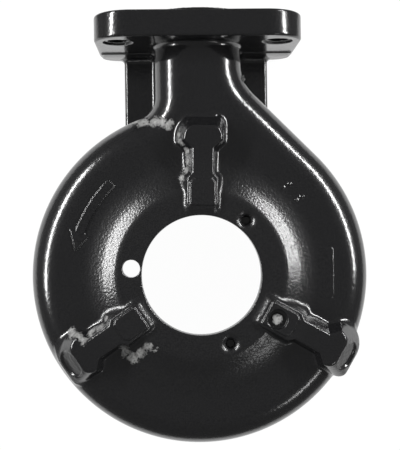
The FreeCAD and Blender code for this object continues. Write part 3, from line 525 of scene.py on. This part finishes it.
def make_casting():
    """The cast skin as one object, thinned where it is flat."""
    points, faces = surface_net()
    points = settle(points.astype(np.float64), 2)
    mesh = make_mesh("cast_skin", points, faces)
    skin = bpy.data.objects.new("cast_skin", mesh)
    bpy.context.scene.collection.objects.link(skin)
    thin = skin.modifiers.new("thin", "DECIMATE")
    thin.ratio = TRIANGLES / (2 * len(faces))
    bpy.context.view_layer.objects.active = skin
    with bpy.context.temp_override(object=skin, active_object=skin):
        bpy.ops.object.modifier_apply(modifier=thin.name)

    mesh = skin.data
    places = np.empty(len(mesh.vertices) * 3, np.float32)
    mesh.vertices.foreach_get("co", places)
    points = settle(places.reshape(-1, 3).astype(np.float64) / MM, 2)
    mesh.vertices.foreach_set("co", (points * MM).astype(np.float32).ravel())
    normals = slope_of(points, NORMAL_REACH)
    normals /= np.maximum(np.linalg.norm(normals, axis=1, keepdims=True), 1e-6)
    mesh.polygons.foreach_set("use_smooth", np.ones(len(mesh.polygons), bool))
    mesh.normals_split_custom_set_from_vertices(normals.tolist())
    mesh.update()
    return skin


# ---------------------------------------------------------------------------
# Material, stage, light and camera
# ---------------------------------------------------------------------------

def lug_place(lug, along, across, z):
    """A place on a lug, in the casting's frame."""
    cosine, sine = turn(LUGS[lug][0])
    return (along * cosine - across * sine, along * sine + across * cosine, z)


# Centre and reach of the grey grainy patches: painted sheen on the slopes of the top and lower-left
# lugs and where the neck meets the scroll on the left, and bare iron in the seat of the right lug.
SHEEN_AND_BARE = [(lug_place(0, 126, 24, 110), 6), (lug_place(0, 120, 19, 110), 6),
        (lug_place(0, 112, 15, 110), 6), (lug_place(0, 103, 15, 110), 6),
        (lug_place(0, 95, 17, 110), 6), (lug_place(0, 88, 19, 110), 5),
        (lug_place(0, 122, -15, 112), 6), (lug_place(0, 142, 16, 113), 5),
        (lug_place(0, 143, 2, 113), 5), (lug_place(1, 126, -24, 108), 8),
        (lug_place(1, 122, -19, 113), 9), (lug_place(1, 121, -13, 116), 7),
        (lug_place(1, 111, -15, 112), 8), (lug_place(1, 102, -15, 112), 7),
        (lug_place(1, 93, -16, 110), 5), (lug_place(1, 96, 18, 106), 8),
        (lug_place(1, 94, 27, 104), 8), (lug_place(1, 85, 27, 107), 8),
        (lug_place(1, 75, 27, 111), 7), (lug_place(1, 71, 31, 111), 5),
        ((-59, 140, 82), 9), ((-52, 142, 92), 9),
        ((-43, 142, 98), 9), ((-35, 141, 101), 8),
        ((-28, 138, 102), 7), ((SEAT_X, SEAT_Y, LUG_TOP - 2), 7)]


# The second colour is the light grey of the patches: painted sheen on the slopes, bare iron in the
# seat.
PAINT_COLOUR, SHEEN_AND_IRON_COLOUR = (0.006, 0.006, 0.007, 1), (0.50, 0.50, 0.49, 1)
PAINT_ROUGHNESS, PATCH_ROUGHNESS, HUB_ROUGHNESS = 0.18, 0.35, 0.08  # the last two are added
HUB_REACH, HUB_FADE = 0.110, 100.0                                 # metres, per metre


def maths(tree, operation, *values, clamp=False):
    """The result of a Math node; each value is a float or a socket."""
    node = tree.nodes.new("ShaderNodeMath")
    node.operation = operation
    node.use_clamp = clamp
    for socket, value in zip(node.inputs, values):
        if isinstance(value, float):
            socket.default_value = value
        else:
            tree.links.new(value, socket)
    return node.outputs[0]


def make_paint():
    """Glossy black paint over cast iron, with grainy grey patches: painted sheen on the slopes, and
    bare iron in the seat.
    """
    paint = bpy.data.materials.new("black_paint")
    paint.use_nodes = True
    tree = paint.node_tree
    nodes, links = tree.nodes, tree.links
    shader = nodes["Principled BSDF"]
    place = nodes.new("ShaderNodeTexCoord").outputs["Object"]

    def noise(scale, detail):
        node = nodes.new("ShaderNodeTexNoise")
        node.inputs["Scale"].default_value = scale
        node.inputs["Detail"].default_value = detail
        links.new(place, node.inputs["Vector"])
        return node.outputs["Fac"]

    def distance(centre):
        node = nodes.new("ShaderNodeVectorMath")
        node.operation = "DISTANCE"
        links.new(place, node.inputs[0])
        node.inputs[1].default_value = [part * MM for part in centre]
        return node.outputs["Value"]

    # Grey patches, painted sheen on the slopes and bare iron in the seat: ragged at the edge,
    # speckled inside
    edge = None
    for centre, reach in SHEEN_AND_BARE:
        share = maths(tree, "DIVIDE", distance(centre), reach * MM)
        edge = share if edge is None else maths(tree, "MINIMUM", edge, share)
    fine, broad = noise(600.0, 4.0), noise(220.0, 1.0)
    ragged = maths(tree, "ADD", edge, maths(tree, "MULTIPLY", fine, 1.6))
    ragged = maths(tree, "ADD", ragged, broad)
    sheen_and_bare = maths(tree, "MULTIPLY", maths(tree, "SUBTRACT", 2.0, ragged), 6.0, clamp=True)
    speckle = maths(tree, "SUBTRACT", maths(tree, "MULTIPLY", fine, 3.2), 0.9)
    sheen_iron_and_dust = maths(tree, "MULTIPLY", sheen_and_bare, speckle, clamp=True)

    # A trace of fine dust in the paint
    dust = maths(tree, "MULTIPLY", noise(950.0, 2.0), 4.0)
    dust = maths(tree, "SUBTRACT", dust, 1.5, clamp=True)
    sheen_iron_and_dust = maths(tree, "ADD", sheen_iron_and_dust, maths(tree, "MULTIPLY", dust, 0.022))

    tint = nodes.new("ShaderNodeValToRGB")
    tint.color_ramp.elements[0].color = PAINT_COLOUR
    tint.color_ramp.elements[1].color = SHEEN_AND_IRON_COLOUR
    links.new(sheen_iron_and_dust, tint.inputs["Fac"])
    links.new(tint.outputs["Color"], shader.inputs["Base Color"])

    # The hub is rougher than the scroll.
    hub = maths(tree, "SUBTRACT", HUB_REACH, distance((0, 0, RING_Z)))
    hub = maths(tree, "MULTIPLY", hub, HUB_FADE, clamp=True)
    rough = maths(tree, "ADD", maths(tree, "MULTIPLY", sheen_and_bare, PATCH_ROUGHNESS),
                  maths(tree, "MULTIPLY", hub, HUB_ROUGHNESS))
    links.new(maths(tree, "ADD", rough, PAINT_ROUGHNESS), shader.inputs["Roughness"])
    shader.inputs["Specular IOR Level"].default_value = 1.0

    # Orange peel everywhere, with more grain on the sheen-and-bare patches and the hub
    patch_grain = maths(tree, "MULTIPLY", maths(tree, "MULTIPLY", fine, sheen_and_bare), 1.5)
    hub_grain = maths(tree, "MULTIPLY", maths(tree, "MULTIPLY", noise(480.0, 1.5), hub), 1.8)
    peel = maths(tree, "ADD", noise(320.0, 2.0), patch_grain)
    bump = nodes.new("ShaderNodeBump")
    bump.inputs["Strength"].default_value = 0.25
    bump.inputs["Distance"].default_value = 0.0006
    links.new(maths(tree, "ADD", peel, hub_grain), bump.inputs["Height"])
    links.new(bump.outputs["Normal"], shader.inputs["Normal"])
    return paint


FLOOR_HALF, FLOOR_DROP = 3.0, 0.0005
FLOOR_WHITE, FLOOR_DARK, FLOOR_SHARE = 1.05, 0.1, 0.93
BRIGHT_TO, DARK_FROM = 0.31, 0.40


def make_floor():
    """A pale floor: white to the camera, and in reflections bright near the casting only."""
    mesh = bpy.data.meshes.new("floor")
    half = FLOOR_HALF
    corners = [(-half, -half, 0), (half, -half, 0), (half, half, 0), (-half, half, 0)]
    mesh.from_pydata(corners, [], [(0, 1, 2, 3)])
    floor = bpy.data.objects.new("floor", mesh)
    floor.location.z = -FLOOR_DROP
    bpy.context.scene.collection.objects.link(floor)
    material = bpy.data.materials.new("floor_white")
    material.use_nodes = True
    tree = material.node_tree
    nodes, links = tree.nodes, tree.links
    shader = nodes["Principled BSDF"]
    shader.inputs["Base Color"].default_value = (0.85, 0.85, 0.85, 1)
    shader.inputs["Roughness"].default_value = 0.8
    shader.inputs["Specular IOR Level"].default_value = 0

    away = nodes.new("ShaderNodeVectorMath")
    away.operation = "LENGTH"
    links.new(nodes.new("ShaderNodeTexCoord").outputs["Object"], away.inputs[0])
    near = nodes.new("ShaderNodeMapRange")
    near.inputs["From Min"].default_value = DARK_FROM
    near.inputs["From Max"].default_value = BRIGHT_TO
    links.new(away.outputs["Value"], near.inputs["Value"])
    path = nodes.new("ShaderNodeLightPath")
    power = nodes.new("ShaderNodeMapRange")
    power.inputs["To Min"].default_value = FLOOR_DARK
    power.inputs["To Max"].default_value = FLOOR_WHITE
    links.new(maths(tree, "MAXIMUM", path.outputs["Is Camera Ray"], near.outputs["Result"]),
              power.inputs["Value"])
    glow = nodes.new("ShaderNodeEmission")
    links.new(power.outputs["Result"], glow.inputs["Strength"])

    seen = maths(tree, "MAXIMUM", path.outputs["Is Camera Ray"], path.outputs["Is Glossy Ray"])
    mix = nodes.new("ShaderNodeMixShader")
    links.new(maths(tree, "MULTIPLY", seen, FLOOR_SHARE), mix.inputs["Fac"])
    links.new(shader.outputs[0], mix.inputs[1])
    links.new(glow.outputs[0], mix.inputs[2])
    links.new(mix.outputs[0], nodes["Material Output"].inputs["Surface"])
    floor.data.materials.append(material)


# Name, place, length, width and power of each soft box
LAMPS = [("left_box", (-1.75, 0.55, 1.06), 1.8, 0.16, 39),
         ("right_box", (1.75, 0.78, 1.06), 1.85, 0.16, 37),
         ("low_box", (1.11, -1.28, 1.06), 0.5, 0.12, 1.6)]
LAMP_AIM = (0, 0.05, 0.06)
SKY = 0.12


def make_light():
    """Long narrow soft boxes at both sides, a weak one below, and a dim sky."""
    world = bpy.data.worlds.new("studio")
    bpy.context.scene.world = world
    world.use_nodes = True
    back = world.node_tree.nodes["Background"]
    back.inputs["Color"].default_value = (1, 1, 1, 1)
    back.inputs["Strength"].default_value = SKY
    for name, place, length, width, power in LAMPS:
        data = bpy.data.lights.new(name, "AREA")
        data.shape = "RECTANGLE"
        data.size, data.size_y = length, width
        data.energy = power
        lamp = bpy.data.objects.new(name, data)
        lamp.location = place
        lamp.rotation_mode = "QUATERNION"
        lamp.rotation_quaternion = (Vector(LAMP_AIM) - Vector(place)).to_track_quat("-Z", "Y")
        bpy.context.scene.collection.objects.link(lamp)


def make_camera():
    data = bpy.data.cameras.new("camera")
    data.lens = 76.2
    data.sensor_width = 36
    camera = bpy.data.objects.new("camera", data)
    camera.location = (-0.024, 0.0456, 0.972)
    camera.rotation_euler = (0, math.radians(-1.54), math.radians(-0.8))
    bpy.context.scene.collection.objects.link(camera)
    bpy.context.scene.camera = camera


bpy.context.scene.view_settings.view_transform = "Standard"
skin = make_casting()
skin.data.materials.append(make_paint())
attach(skin, "root")
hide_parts("volute_casing")
make_floor()
make_light()
make_camera()
